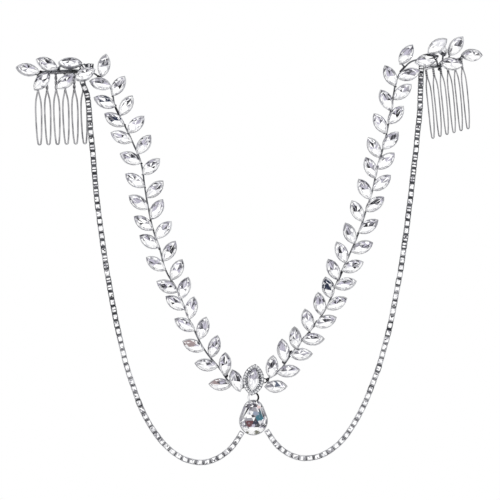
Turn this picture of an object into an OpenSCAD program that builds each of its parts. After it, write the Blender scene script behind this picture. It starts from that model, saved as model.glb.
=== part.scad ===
// Hair headpiece: two wire side combs, each with a spray of stone-set leaves, joined by two leaf
// vines that meet at a navette stone in a paved halo. A pear drop hangs from the halo, and two
// cup chains swag from the combs to the drop.
//
// It hangs as when it is pinned up by its combs: X runs from comb to comb, Z is up, and the
// stones face -Y. The origin is the middle of the left comb's top rail.

/* [Leaf stones] */
// Length of a leaf stone, point to point
stone_l = 10; // [8:0.5:12]
// Width of a leaf stone
stone_w = 5; // [4:0.25:6]
// Height of the stone's crown above the rim of its cup
crown_h = 1; // [0.6:0.1:1.4]
// Wall of the cup round a leaf stone
rim_t = 0.3; // [0.25:0.05:0.5]
// Depth of the cup, floor and wall together
cup_h = 1.8; // [1.6:0.1:2.4]

/* [Vines] */
// Diameter of the stem wire
stem_d = 0.9; // [0.7:0.1:1.2]
// Thickness of the stem's solder beads at the leaves, as a multiple of the wire's
stem_bead = 1.3; // [1.2:0.05:1.4]
// How far a leaf's point leans towards the front, on average, in degrees
leaf_lean = 8; // [4:1:12]
// How much the leaves roll about their own length, in degrees
leaf_roll = 9; // [0:1:14]

/* [Combs] */
// Number of teeth of a comb
teeth = 6; // [4:1:8]
// Distance from tooth to tooth
tooth_pitch = 4; // [3.8:0.1:4.4]
// Height of a comb from its top rail to the ends of its teeth
tooth_l = 32; // [28:0.5:36]
// Diameter of the comb wire
comb_wire_d = 0.8; // [0.6:0.1:1]
// Diameter of the comb's top rail
rail_d = 1.3; // [1:0.1:1.5]
// How far the ends of the teeth bend back towards the head
tooth_bow = 2.5; // [0:0.5:4]

/* [Centre] */
// Length of the paved halo, point to point
halo_l = 14; // [13:0.5:16]
// Width of the paved halo
halo_w = 9.4; // [9:0.2:11]
// Radius of the pear drop's round end
drop_r = 6; // [5.5:0.1:6.5]
// Radius of the pear drop's narrow end
drop_top_r = 4.3; // [3.5:0.1:4.8]
// Distance between the middles of the drop's two round ends
drop_reach = 4.7; // [4:0.1:6]

/* [Chains] */
// Width of the cup chain
chain_d = 2.4; // [2:0.1:2.4]

/* [Hidden] */
$fn = 96;
silver = [0.80, 0.81, 0.83];
crystal = [0.90, 0.93, 0.97];

// Depths along Y: the left comb's rail is at 0, then come the chains, and the vines in front
chain_y = -2.25;
chain_forward = 2.6;    // how far a chain comes forward on its way down to the drop
vine_y = -3.6;
link_y = -3.1;
fit = 0.05;             // clearance between a stone and its cup
seat = 0.3;             // clearance between two pieces that are tied together
floor_t = 0.6;          // floor of a cup
cup_l = stone_l + 2 * rim_t;
cup_w = stone_w + 2 * rim_t;
cup_back = 0.05;        // the cup's back lies this far in front of the stem's middle

// Stem stations of the left vine, from the comb down. An outer leaf springs from each station
// and an inner leaf from a place on the way to the next one.
// Columns: x, z, aim of the outer leaf, aim of the inner leaf (degrees from +X towards +Z), lean
// of the outer leaf, lean of the inner leaf (degrees more than leaf_lean), place of the inner
// leaf's foot as a fraction of the way
left_stations = [
    [22, -6.5, 168, 57, 20, 0, 0.45], [24.3, -15.4, 157, 58, 2, -3, 0.45],
    [28.5, -23.6, 148, 46, -2, 1, 0.45], [31.8, -30.6, 157, 55, 1, -2, 0.6],
    [35.7, -40.2, 157, 42, 0, 3, 0.45], [37.3, -50.7, 146, 46, -3, -1, 0.48],
    [38.9, -60, 145, 59, 3, -4, 0.53], [41, -69.4, 145, 46, -1, 6, 0.47],
    [43.8, -77.5, 149, 59, -6, -2, 0.58], [46.5, -87.2, 146, 62, -2, 2, 0.45],
    [51.9, -96.4, 154, 69, 1, 6, 0.405], [55.1, -104.6, 146, 78, -6, 0, 0.45],
    [59.2, -113.9, 150, 73, 0, -3, 0.45], [63.5, -122.1, 158, 73, 2, 1, 0.47],
    [69.5, -129.5, 171, 90, -2, -1, 0.5]
];
left_last = [76.4, -137.7];     // foot of the left vine, where its last outer leaf springs
right_stations = [
    [148.5, -2.5, 18, 118, 0, -2, 0.39], [146.5, -12, 40, 119, -3, 3, 0.45],
    [144.5, -23, 49, 122, -4, -3, 0.37], [142, -34, 47, 120, -2, 1, 0.42],
    [139.5, -42.5, 44, 114, 2, -1, 0.46], [137.5, -52, 40, 120, -1, 2, 0.43],
    [134.5, -61.5, 37, 117, -3, 0, 0.45], [131.4, -70.7, 33, 112, 1, 12, 0.55],
    [128, -78.9, 23, 115, -2, 6, 0.58], [124, -87.5, 22, 116, 0, -2, 0.56],
    [120.9, -94.8, 14, 102, 8, 22, 0.44], [117.1, -103.8, 26, 98, 4, 4, 0.4],
    [112, -111.4, 21, 103, 1, 4, 0.42], [106.6, -117.9, 1, 95, 12, 14, 0.55],
    [101.5, -124.5, 1, 97, 14, -2, 0.39]
];
right_last = [95.5, -132.5];

// Small rings that tie the vines to the halo, behind the leaves
link_r = 0.9;           // middle radius of a link ring
link_wire = 0.5;
eye_r = 0.8;            // outside radius of the eyes that it passes through
eye_hole = 0.42;
eye_t = 0.6;
left_lug = [81, link_y, -138.2];
right_lug = [89.3, link_y, -136.4];
left_turn = 180;        // way from the halo's lug to the vine's eye
right_turn = 38;
left_eye = left_lug + 2 * link_r * [cos(left_turn), 0, sin(left_turn)];
right_eye = right_lug + 2 * link_r * [cos(right_turn), 0, sin(right_turn)];

// Stem ways from the vines to the rods that lie along the combs' rails
rod_y = -rail_d / 2 - seat - stem_d / 2;
left_way = [
    [-9.5, rod_y, 0.2], [5.5, rod_y, 0.9], [7.3, -4, 0.8], [14.5, -4, -0.4], [17.5, vine_y, -2.5]
];
right_way = [
    [177, 9.5, 5.9], [164.5, 0.86, 2.3], [161.6, -1.6, 3.4], [159, -2.7, 5.2],
    [155, -3.4, 4.8], [151.8, vine_y, 2.2]
];

stalk_min = 1.2;        // a leaf nearer to its root than this sits on it without a stalk
stalk_in = 0.9;         // how far the stalk runs in from the leaf's point

// Leaves on stalks of their own: the sprays over the combs and the vines' end leaves.
// Columns: x, y, z of the leaf's foot, aim, lean, roll, turn about Z, then x, y, z of the
// stalk's root
left_spray = [
    [-9.2, -2.2, -0.3, 171, 6, 20, 0, -8.5, rod_y, 0.25],
    [-1.2, -2.6, 1.3, 157, 8, 8, 0, -0.5, rod_y, 0.6],
    [-0.8, -2.4, 3.3, -2, 4, -36, 0, -0.5, rod_y, 0.6],
    [-4.4, -2.4, -0.3, 230, 8, 10, 0, -4, rod_y, 0.45],
    [6.6, -2.6, -0.9, 217, 8, -6, 0, 5.5, rod_y, 0.9],
    [15.2, -4.6, 0.6, 211, 24, 12, 0, 14.5, -4, -0.4],
    [18.1, -4.1, -2.2, 79, 8, 10, 0, 17.5, vine_y, -2.5],
    [75.6, vine_y, -137.6, 178, 8, 0, 0, 76.4, vine_y, -137.7],
    [78.9, -5.2, -140.5, 110, 12, 10, 0, 78.1, -3.3, -138.2]
];
right_spray = [
    [176.6, 6.9, 7.9, 1, 2, 6, 32, 176, 9.1, 5.7],
    [171.1, 2.4, 7.4, 54, 10, -8, 26, 171, 5.3, 4.1],
    [161.6, -2.7, 8.5, 40, 14, 8, 16, 162, -1, 3.7],
    [168.7, 1.5, 7, 70, -62, 0, 20, 168.4, 3.5, 3.4],
    [166.3, -3, 6.2, 193, 3, 8, 0, 166.5, 2.2, 2.8],
    [166.9, -0.5, 4.2, -8, 4, -10, 8, 167.4, 2.9, 3.1],
    [149.4, vine_y, 3.4, 57, 8, 4, 0, 151.6, vine_y, 2.2],
    [95.5, vine_y, -132.5, 7, 10, -8, 0, 95.5, vine_y, -132.5],
    [90.5, vine_y, -138.2, 3, 24, 6, 0, 91.8, -3.3, -134.7],
    [92.4, vine_y, -134.4, 83, 16, 6, 0, 92.4, vine_y, -134.4]
];

// The left comb hangs a little askew. The right one is turned to the side of the head and tilted
// with it
left_comb_turn = [0, -1.4, 0];
right_comb_at = [169, 5.6, 4];
right_comb_turn = [3, -13, 35];
left_twist = 8.6;       // length of the twisted tops of the teeth
right_twist = 4.2;

// Halo, ring and drop
halo_at = [85.1, vine_y, -135.4];
halo_tilt = 7;          // the halo's top leans to the right
halo_h = 1.7;
halo_stone_l = 10.4;
halo_stone_w = 5.2;
halo_stone_h = 2.4;
ring_at = [85.1, -2.9, -143.2];
ring_r = 2.2;
ring_wire = 0.8;
lug_r = 1.2;            // eyes behind the halo and the drop that the ring passes through
lug_hole = 0.6;
lug_t = 0.9;
drop_at = [85.1, vine_y, -153.45];
drop_rim = 0.35;
drop_ledge = 1.6;       // width of the ledge behind the drop's stone
drop_h = 2.4;
drop_stone_h = 4.2;
drop_steps = 12;

// Routes of the two cup chains
left_route = [
    [14.5, 2.5], [12, 2.6], [10, 2], [9.2, 0], [9.5, -2.5], [10.3, -5.7], [11.6, -9],
    [12.3, -12.5], [12.8, -17], [13.4, -25.5], [14.1, -32], [14.7, -38.5], [15.4, -47.5],
    [16.3, -56.5], [17.5, -66], [18.9, -76], [20.2, -85], [21.7, -93.5], [23.3, -102.5],
    [25.1, -111.5], [27, -120], [29.2, -129], [32, -137.5], [35.2, -146.5], [39.5, -155],
    [44.4, -162], [49.5, -167], [55, -170.3], [61, -171.7], [66.5, -171], [71.5, -168.5],
    [76, -164.5], [80.2, -158.3]
];
right_route = [
    [159.1, 2.6], [158.8, -3.5], [158.6, -10], [158.4, -16], [158, -21], [157.3, -27],
    [156.6, -34.5], [155.8, -41], [155.1, -47.5], [154.4, -54], [153.6, -60], [152.7, -67.5],
    [151.5, -76], [150.2, -85], [148.7, -93.5], [147, -102.5], [145.2, -111.5], [143, -120],
    [140.5, -129], [137.4, -137.5], [133.7, -146.5], [129.1, -155], [124.1, -162],
    [119.2, -166.2], [114.4, -168.8], [109.6, -169.8], [104.7, -169.5], [100, -167.6],
    [95.6, -164.2], [90.75, -157.55]
];
chain_rings = 42;
chain_sides = 8;

// Turns what points along Z to point along v
module facing(v) {
    rotate([0, acos(v.z / norm(v)), atan2(v.y, v.x)]) children();
}

// A straight piece of wire from a to b
module rod(a, b, d) {
    translate(a) facing(b - a) cylinder(h = norm(b - a), d = d, $fn = 24);
}

// Wire bent through a list of points. A bead, bead times as thick as the wire, rounds each bend,
// and the straight pieces stop just short of one another inside it
module bent_wire(points, d, bead) {
    last = len(points) - 1;
    trim = 0.4 * d * sqrt(bead * bead - 1);
    for (i = [1 : last]) {
        along = (points[i] - points[i - 1]) / norm(points[i] - points[i - 1]);
        rod(points[i - 1] + (i > 1 ? trim : 0) * along, points[i] - (i < last ? trim : 0) * along,
            d);
    }
    for (i = [1 : 1 : last - 1])
        translate(points[i]) facing(points[i + 1] - points[i - 1]) sphere(d = bead * d, $fn = 24);
}

// Pointed oval of two arcs, its length along X
module navette(l, w) {
    r = (l * l + w * w) / (4 * w);
    intersection() {
        translate([0, r - w / 2]) circle(r);
        translate([0, w / 2 - r]) circle(r);
    }
}

// A flat shape in X and Z, raised from y = -from towards the front
module raised(from, h) {
    translate([0, -from, 0]) rotate([90, 0, 0]) linear_extrude(h) children();
}

// A stone: pointed oval girdle, sloping crown on four sides and a flat table
module navette_stone(l, w, h, crown) {
    girdle = h - crown;
    intersection() {
        raised(0, h) navette(l, w);
        rotate([90, 0, 90]) linear_extrude(l, center = true)
            polygon([[0, -w / 2], [0, w / 2], [-girdle, w / 2], [-h, w / 4], [-h, -w / 4],
                     [-girdle, -w / 2]]);
        linear_extrude(w, center = true)
            polygon([[-l / 2, 0], [l / 2, 0], [l / 2, -girdle], [l * 0.3, -h], [-l * 0.3, -h],
                     [-l / 2, -girdle]]);
    }
}

module leaf_cup() {
    translate([cup_l / 2, 0, 0])
        difference() {
            raised(cup_back, cup_h) navette(cup_l, cup_w);
            raised(cup_back + floor_t, cup_h) navette(stone_l, stone_w);
        }
}

module leaf_stone() {
    translate([cup_l / 2, -cup_back - floor_t - fit, 0])
        navette_stone(stone_l - 2 * fit, stone_w - 2 * fit, cup_h - floor_t - fit + crown_h,
                      crown_h);
}

// Puts a leaf's foot at p, aimed up or down the page, leant, rolled and turned
module posed(p, aim, lean, roll, turn = 0) {
    translate(p) rotate([0, 0, turn]) rotate([0, -aim, 0]) rotate([roll, 0, 0])
        rotate([0, 0, -lean]) children();
}

function stem_point(s) = [s[0], vine_y, s[1]];
// Leaves roll a little differently from one to the next
function roll_of(i) = leaf_roll * sin(97 * i + 40);

module outer_leaves(stations) {
    for (i = [0 : len(stations) - 1])
        posed(stem_point(stations[i]), stations[i][2], leaf_lean + stations[i][4], roll_of(i))
            children();
}

module inner_leaves(stations, last) {
    for (i = [0 : len(stations) - 1]) {
        here = stem_point(stations[i]);
        next = stem_point(i < len(stations) - 1 ? stations[i + 1] : last);
        posed(here + stations[i][6] * (next - here), stations[i][3], leaf_lean + stations[i][5],
              -roll_of(i + 5)) children();
    }
}

module spray_leaves(spray) {
    for (s = spray) posed([s[0], s[1], s[2]], s[3], s[4], s[5], s[6]) children();
}

function turn_x(v, a) = [v.x, v.y * cos(a) - v.z * sin(a), v.y * sin(a) + v.z * cos(a)];
function turn_y(v, a) = [v.x * cos(a) + v.z * sin(a), v.y, v.z * cos(a) - v.x * sin(a)];
function turn_z(v, a) = [v.x * cos(a) - v.y * sin(a), v.x * sin(a) + v.y * cos(a), v.z];

// A spray leaf's stalk ends in the floor of its cup
function stalk_end(s) = [s[0], s[1], s[2]] + turn_z(turn_y(turn_x(turn_z(
    [stalk_in, -cup_back - floor_t / 2, 0], -s[4]), s[5]), -s[3]), s[6]);

module stalks(spray) {
    for (s = spray) {
        root = [s[7], s[8], s[9]];
        if (norm(stalk_end(s) - root) > stalk_min) rod(root, stalk_end(s), stem_d - 0.1);
    }
}

// Flat eye with its hole along Z
module eye(r, hole, t) {
    difference() {
        cylinder(r = r, h = t, center = true);
        cylinder(r = hole, h = 2 * t, center = true);
    }
}

module branch(way, stations, last, end_eye, turn, spray) {
    color(silver) {
        difference() {
            bent_wire(concat(way, [for (s = stations) stem_point(s)], [stem_point(last), end_eye]),
                      stem_d, stem_bead);
            translate(end_eye) rotate([0, -turn, 0])
                cylinder(r = (eye_r + eye_hole) / 2, h = 4, center = true);
        }
        translate(end_eye) rotate([0, -turn, 0]) eye(eye_r, eye_hole, eye_t);
        stalks(spray);
        outer_leaves(stations) leaf_cup();
        inner_leaves(stations, last) leaf_cup();
        spray_leaves(spray) leaf_cup();
    }
}

module tooth(x, twist) {
    arc_r = 0.6;
    bend_z = -tooth_l + arc_r + comb_wire_d / 2;
    function back(z) = tooth_bow * pow(z / tooth_l, 2);
    rod([x, 0, 0], [x, back(-twist), -twist], 1.8 * comb_wire_d);
    for (side = [-1, 1])
        bent_wire([
            [x + side * 0.3, back(-twist), -twist + 0.3],
            [x + side * 1.35, back(-twist - 4), -twist - 4],
            [x + side * 1.2, back(-23), -23],
            [x + side * arc_r, back(bend_z), bend_z]
        ], comb_wire_d, 1.06);
    translate([x, back(bend_z), bend_z])
        rotate([-90, 0, 0])
            rotate_extrude(angle = 180, $fn = 48) translate([arc_r, 0]) circle(d = comb_wire_d,
                                                                             $fn = 24);
    for (side = [-1, 1])
        translate([x + side * arc_r, back(bend_z), bend_z])
            sphere(d = 1.06 * comb_wire_d, $fn = 24);
}

module comb(twist) {
    color(silver) {
        half = (teeth - 1) / 2 * tooth_pitch;
        rod([-half, 0, 0], [half, 0, 0], rail_d);
        for (i = [0 : teeth - 1]) tooth(i * tooth_pitch - half, twist);
        for (side = [-1, 1]) translate([side * half, 0, 0]) sphere(d = 1.15 * rail_d, $fn = 24);
    }
}

// Point at fraction t of a route, on a smooth curve through its points
function smooth(a, b, c, d, t) = 0.5 * ((2 * b) + (c - a) * t
    + (2 * a - 5 * b + 4 * c - d) * t * t + (3 * b - a - 3 * c + d) * t * t * t);
function at(route, s) = let (n = len(route), k = min(floor(s), n - 2), t = s - k)
    smooth(route[max(k - 1, 0)], route[k], route[k + 1], route[min(k + 2, n - 1)], t);
// The chains come forward from the combs to the plane of the drop
function hung(p) = [p[0], chain_y - chain_forward * min(max(-p[1] - 5, 0) / 150, 1), p[1]];
// Distance along the route up to each of its points
function run(route) = [for (i = 0, s = 0; i < len(route); s = s + (i + 1 < len(route)
    ? norm(route[i + 1] - route[i]) : 0), i = i + 1) s];
function spot(way, goal) = let (k = max([for (i = [0 : len(way) - 2]) if (way[i] <= goal) i]))
    k + (goal - way[k]) / (way[k + 1] - way[k]);

// Cup chain as one tube along its route
module chain(route) {
    way = run(route);
    total = way[len(way) - 1];
    centres = [for (i = [0 : chain_rings - 1])
        hung(at(route, min(spot(way, total * i / (chain_rings - 1)), len(route) - 1.0001)))];
    rings = [for (i = [0 : chain_rings - 1])
        let (ahead = centres[min(i + 1, chain_rings - 1)] - centres[max(i - 1, 0)],
             dir = ahead / norm(ahead),
             side = cross(dir, [0, 1, 0]) / norm(cross(dir, [0, 1, 0])),
             up = cross(side, dir))
        for (j = [0 : chain_sides - 1])
            let (a = 360 * (j + 0.5) / chain_sides)
            centres[i] + chain_d / 2 * (cos(a) * side + sin(a) * up)];
    walls = [for (i = [0 : chain_rings - 2], j = [0 : chain_sides - 1])
        let (k = (j + 1) % chain_sides)
        [i * chain_sides + j, i * chain_sides + k, (i + 1) * chain_sides + k,
         (i + 1) * chain_sides + j]];
    start_cap = [for (j = [chain_sides - 1 : -1 : 0]) j];
    end_cap = [for (j = [0 : chain_sides - 1]) (chain_rings - 1) * chain_sides + j];
    color(silver) polyhedron(rings, concat(walls, [start_cap, end_cap]), convexity = 8);
}

// Outline of the pear drop, grown or shrunk by grow
function pear(grow) = let (side = acos((drop_r - drop_top_r) / drop_reach),
        r = drop_r + grow, t = drop_top_r + grow)
    concat(
        [for (i = [0 : 3 * drop_steps])
            let (a = 90 + side + i * (360 - 2 * side) / (3 * drop_steps))
            [r * cos(a), r * sin(a)]],
        [for (i = [0 : drop_steps])
            let (a = 90 - side + i * 2 * side / drop_steps)
            [t * cos(a), drop_reach + t * sin(a)]]);

module halo_setting() {
    color(silver) {
        translate(halo_at) rotate([0, halo_tilt, 0]) difference() {
            raised(cup_back, halo_h) rotate(90) navette(halo_l, halo_w);
            raised(cup_back + floor_t, halo_h) rotate(90) navette(halo_stone_l, halo_stone_w);
        }
        translate(left_lug) rotate([0, -left_turn, 0]) eye(eye_r, eye_hole, eye_t);
        translate(right_lug) rotate([0, -right_turn, 0]) eye(eye_r, eye_hole, eye_t);
        translate(ring_at + [0, 0, ring_r]) rotate([0, 90, 0]) eye(lug_r, lug_hole, lug_t);
    }
}

module halo_stone() {
    color(crystal)
        translate(halo_at) rotate([0, halo_tilt, 0])
            translate([0, -cup_back - floor_t - fit, 0]) rotate([0, -90, 0])
                navette_stone(halo_stone_l - 2 * fit, halo_stone_w - 2 * fit, halo_stone_h,
                              halo_stone_h / 2);
}

// Ring that ties a vine's eye to the halo's lug
module link(lug, turn) {
    color(silver)
        translate(lug) rotate([0, -turn, 0]) translate([link_r, 0, 0]) rotate([90, 0, 0])
            rotate_extrude($fn = 48) translate([link_r, 0]) circle(d = link_wire, $fn = 24);
}

module drop_ring() {
    color(silver)
        translate(ring_at) rotate([90, 0, 0])
            rotate_extrude($fn = 64) translate([ring_r, 0]) circle(d = ring_wire, $fn = 24);
}

// Cup with an open back: the stone sits on a ledge
module drop_setting() {
    color(silver) {
        translate(drop_at) difference() {
            raised(cup_back, drop_h) polygon(pear(drop_rim));
            raised(cup_back + floor_t, drop_h) polygon(pear(0));
            raised(0, drop_h) polygon(pear(-drop_ledge));
        }
        translate(ring_at - [0, 0, ring_r]) rotate([0, 90, 0]) eye(lug_r, lug_hole, lug_t);
    }
}

// Pear stone: its crown slopes on four sides up to a flat table
module drop_stone() {
    h = drop_stone_h;
    girdle = h / 2;
    side = drop_r - fit;
    top = drop_reach + drop_top_r - fit;
    color(crystal)
        translate(drop_at - [0, cup_back + floor_t + fit, 0])
            intersection() {
                raised(0, h) polygon(pear(-fit));
                translate([0, 0, -side]) linear_extrude(side + top)
                    polygon([[-side, 0], [side, 0], [side, -girdle], [side / 2, -h],
                             [-side / 2, -h], [-side, -girdle]]);
                rotate([90, 0, 90]) linear_extrude(2 * side, center = true)
                    polygon([[0, -side], [0, top], [-girdle, top], [-h, top / 2], [-h, -side / 2],
                             [-girdle, -side]]);
            }
}

rotate(left_comb_turn) comb(left_twist);  // left_comb
branch(left_way, left_stations, left_last, left_eye, left_turn, left_spray);  // left_branch
color(crystal) outer_leaves(left_stations) leaf_stone();  // left_outer_stones
color(crystal) inner_leaves(left_stations, left_last) leaf_stone();  // left_inner_stones
color(crystal) spray_leaves(left_spray) leaf_stone();  // left_spray_stones
chain(left_route);  // left_chain
translate(right_comb_at) rotate(right_comb_turn) comb(right_twist);  // right_comb
branch(right_way, right_stations, right_last, right_eye, right_turn, right_spray);  // right_branch
color(crystal) outer_leaves(right_stations) leaf_stone();  // right_outer_stones
color(crystal) inner_leaves(right_stations, right_last) leaf_stone();  // right_inner_stones
color(crystal) spray_leaves(right_spray) leaf_stone();  // right_spray_stones
chain(right_route);  // right_chain
link(left_lug, left_turn);  // left_link
link(right_lug, right_turn);  // right_link
halo_setting();
halo_stone();
drop_ring();
drop_setting();
drop_stone();
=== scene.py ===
import math
import random
import bmesh
import bpy
from mathutils import Matrix, Vector


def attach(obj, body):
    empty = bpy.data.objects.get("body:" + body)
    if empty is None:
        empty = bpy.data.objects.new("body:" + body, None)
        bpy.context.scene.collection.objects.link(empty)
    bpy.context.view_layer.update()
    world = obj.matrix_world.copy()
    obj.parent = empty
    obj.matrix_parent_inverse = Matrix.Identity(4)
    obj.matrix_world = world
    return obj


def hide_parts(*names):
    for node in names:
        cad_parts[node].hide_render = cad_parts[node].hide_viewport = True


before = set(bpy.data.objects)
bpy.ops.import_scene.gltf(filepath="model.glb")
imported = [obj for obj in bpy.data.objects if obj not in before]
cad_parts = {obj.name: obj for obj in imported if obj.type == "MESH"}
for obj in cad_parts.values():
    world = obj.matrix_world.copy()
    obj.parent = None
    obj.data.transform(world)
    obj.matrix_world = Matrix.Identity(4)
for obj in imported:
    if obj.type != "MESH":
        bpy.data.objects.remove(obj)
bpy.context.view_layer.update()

# ---------------------------------------------------------------------------------------------
# The view. The headpiece hangs by its combs before a white ground, seen straight from the front
# through a long lens, in soft light from all round. Lengths in the sections that follow are in
# millimetres, and mm turns them into metres.
mm = 0.001
scene = bpy.context.scene
scene.view_settings.view_transform = "Standard"

view_width = 220 * mm
view_distance = 2.5
middle_x, middle_y, middle_z = 83.6 * mm, -3.6 * mm, -78.3 * mm
camera = bpy.data.objects.new("camera", bpy.data.cameras.new("camera"))
camera.location = (middle_x, middle_y - view_distance, middle_z)
camera.rotation_euler = (math.pi / 2, 0, 0)
camera.data.lens = camera.data.sensor_width * view_distance / view_width
scene.collection.objects.link(camera)
scene.camera = camera


class Shade:
    """A socket in a shader's nodes. Arithmetic on it adds Math nodes."""

    def __init__(self, tree, socket=None):
        self.tree = tree
        self.socket = socket

    def node(self, kind, settings, inputs, output=0):
        """Adds a node: its type, its settings or a ramp's stops, and values or links in."""
        made = self.tree.nodes.new("ShaderNode" + kind)
        for name, value in settings.items():
            if name == "stops":
                stops = made.color_ramp.elements
                while len(stops) < len(value):
                    stops.new(1)
                for stop, (place, level) in zip(stops, value):
                    stop.position = place
                    stop.color = (level, level, level, 1)
            else:
                setattr(made, name, value)
        for name, value in inputs.items():
            if isinstance(value, Shade):
                self.tree.links.new(value.socket, made.inputs[name])
            else:
                made.inputs[name].default_value = value
        return Shade(self.tree, made.outputs[output])

    def math(self, operation, first, second):
        return self.node("Math", {"operation": operation}, {0: first, 1: second})

    def __add__(self, other):
        return self.math("ADD", self, other)

    def __radd__(self, other):
        return self.math("ADD", other, self)

    def __sub__(self, other):
        return self.math("SUBTRACT", self, other)

    def __rsub__(self, other):
        return self.math("SUBTRACT", other, self)

    def __mul__(self, other):
        return self.math("MULTIPLY", self, other)

    def __rmul__(self, other):
        return self.math("MULTIPLY", other, self)

    def __gt__(self, other):
        return self.math("GREATER_THAN", self, other)

    def mix(self, factor, first, second):
        return self.node("Mix", {"data_type": "RGBA"}, {0: factor, 6: first, 7: second}, 2)


studio = bpy.data.worlds.new("studio")
studio.use_nodes = True
studio.node_tree.nodes.clear()
room = Shade(studio.node_tree)
way = room.node("TexCoord", {}, {}, "Generated")
way_back = room.node("SeparateXYZ", {}, {0: way}, "Y")
way_up = room.node("SeparateXYZ", {}, {0: way}, "Z")
# Brightness from behind the headpiece, at 0, to the viewer's side, at 1
round_the_room = room.node("ValToRGB", {"stops": [
    (0.0, 1.1), (0.2, 0.7), (0.35, 0.20), (0.52, 0.65), (0.72, 1.25), (0.90, 1.35), (1.0, 0.9)
]}, {0: 0.5 - 0.5 * way_back})
# Brightness from below, at 0, to above, at 1, with a dark band that gives the metal its edges
up_the_wall = room.node("ValToRGB", {"stops": [
    (0.0, 1.0), (0.50, 1.0), (0.60, 0.85), (0.68, 0.45), (0.76, 0.9), (1.0, 1.0)
]}, {0: 0.5 + 0.5 * way_up})
seen = room.node("LightPath", {}, {}, "Is Camera Ray")
soft_light = room.node("Mix", {"data_type": "RGBA", "blend_type": "MULTIPLY"},
                       {0: 1.0, 6: round_the_room, 7: up_the_wall}, 2)
ground = room.mix(seen, soft_light, (1, 1, 1, 1))
backdrop = room.node("Background", {}, {"Color": ground, "Strength": 1.0})
outside = studio.node_tree.nodes.new("ShaderNodeOutputWorld")
studio.node_tree.links.new(backdrop.socket, outside.inputs["Surface"])
scene.world = studio

lit_point = Vector((0.084, 0, -0.08))
# Columns: name, place, side of the lamp, watts, whether polished metal mirrors it
for name, place, size, power, in_metal in [
    ("key_light", (-0.45, -1.3, 1.3), 0.5, 12, True),
    ("fill_light", (1.35, -0.9, -0.3), 0.6, 6, False)
]:
    lamp = bpy.data.objects.new(name, bpy.data.lights.new(name, "AREA"))
    lamp.data.size = size
    lamp.data.energy = power
    lamp.location = place
    lamp.rotation_euler = (lit_point - lamp.location).to_track_quat("-Z", "Y").to_euler()
    lamp.visible_glossy = in_metal
    scene.collection.objects.link(lamp)

floor_half = 0.6
floor_height = -0.3
floor = bmesh.new()
bmesh.ops.create_grid(floor, x_segments=1, y_segments=1, size=floor_half,
                      matrix=Matrix.Translation((lit_point.x, 0, floor_height)))
floor_mesh = bpy.data.meshes.new("floor")
floor.to_mesh(floor_mesh)
floor.free()
floor_object = bpy.data.objects.new("floor", floor_mesh)
scene.collection.objects.link(floor_object)
pale = bpy.data.materials.new("pale floor")
pale.use_nodes = True
pale_paint = pale.node_tree.nodes["Principled BSDF"]
pale_paint.inputs["Base Color"].default_value = (0.9, 0.9, 0.9, 1)
pale_paint.inputs["Roughness"].default_value = 0.8
floor_mesh.materials.append(pale)

# ---------------------------------------------------------------------------------------------
# Combs. Each tooth is one silver-plated wire, twisted with itself under the rail, then opened in a
# long loop with a round end. The rail is a thicker wire wound with a thin one, which holds the
# teeth and the spray's rod; the right comb's rail is painted in a lighter silver, as painted light.
teeth = 6
tooth_pitch = 4
tooth_l = 32
tooth_bow = 2.5
tooth_end_r = 0.62
tooth_end = -tooth_l + 1.0
open_above = 6
twist_r = 0.28
twist_top = 0.4
twist_steps = 26
rail = 1.3
rail_over = 0.6
winding_over = 0.5
winding = 0.26
winding_turns = 44
winding_steps = 10
winding_r = rail / 2 + 0.12
# Columns: how far below the twist, how far each wire is from the tooth's middle
opening_loop = [(1.3, 0.56), (3.2, 0.98), (6.5, 1.25), (10.5, 1.27)]
# Columns: height, how far each wire is from the tooth's middle
closing_loop = [(-23.5, 1.16), (-28.0, 0.96), (tooth_end + 0.6, 0.70)]


def piece(name, bm, finishes, node):
    """Closes a piece's mesh, gives it its finishes and lets it stand for a node of the frame."""
    bmesh.ops.remove_doubles(bm, verts=bm.verts, dist=1e-7)
    bmesh.ops.recalc_face_normals(bm, faces=bm.faces)
    mesh = bpy.data.meshes.new(name)
    bm.to_mesh(mesh)
    bm.free()
    made = bpy.data.objects.new(name, mesh)
    for finish in finishes:
        mesh.materials.append(finish)
    scene.collection.objects.link(made)
    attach(made, "root")
    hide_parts(node)


def placed(bm, mesh, at, slot=0):
    """Adds a copy of a small mesh to a piece, and returns its faces."""
    verts, faces = len(bm.verts), len(bm.faces)
    bm.from_mesh(mesh)
    bm.verts.ensure_lookup_table()
    bm.faces.ensure_lookup_table()
    bmesh.ops.transform(bm, matrix=at, verts=bm.verts[verts:])
    new = bm.faces[faces:]
    for face in new:
        face.material_index = slot
    return new


def wire(bm, points, thick, at=Matrix.Identity(4), slot=0, smooth=True):
    """Adds a round wire through points given in millimetres."""
    curve = bpy.data.curves.new("wire", "CURVE")
    curve.dimensions = "3D"
    curve.bevel_depth = thick / 2 * mm
    curve.bevel_resolution = 2
    curve.resolution_u = 5
    curve.use_fill_caps = True
    run = curve.splines.new("BEZIER" if smooth else "POLY")
    knots = run.bezier_points if smooth else run.points
    knots.add(len(points) - 1)
    for knot, point in zip(knots, points):
        if smooth:
            knot.co = Vector(point) * mm
            knot.handle_left_type = knot.handle_right_type = "AUTO"
        else:
            knot.co = (*(Vector(point) * mm), 1)
    holder = bpy.data.objects.new("wire", curve)
    mesh = bpy.data.meshes.new_from_object(holder)
    for face in placed(bm, mesh, at, slot):
        face.smooth = True
    bpy.data.objects.remove(holder)
    bpy.data.curves.remove(curve)
    bpy.data.meshes.remove(mesh)


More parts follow.
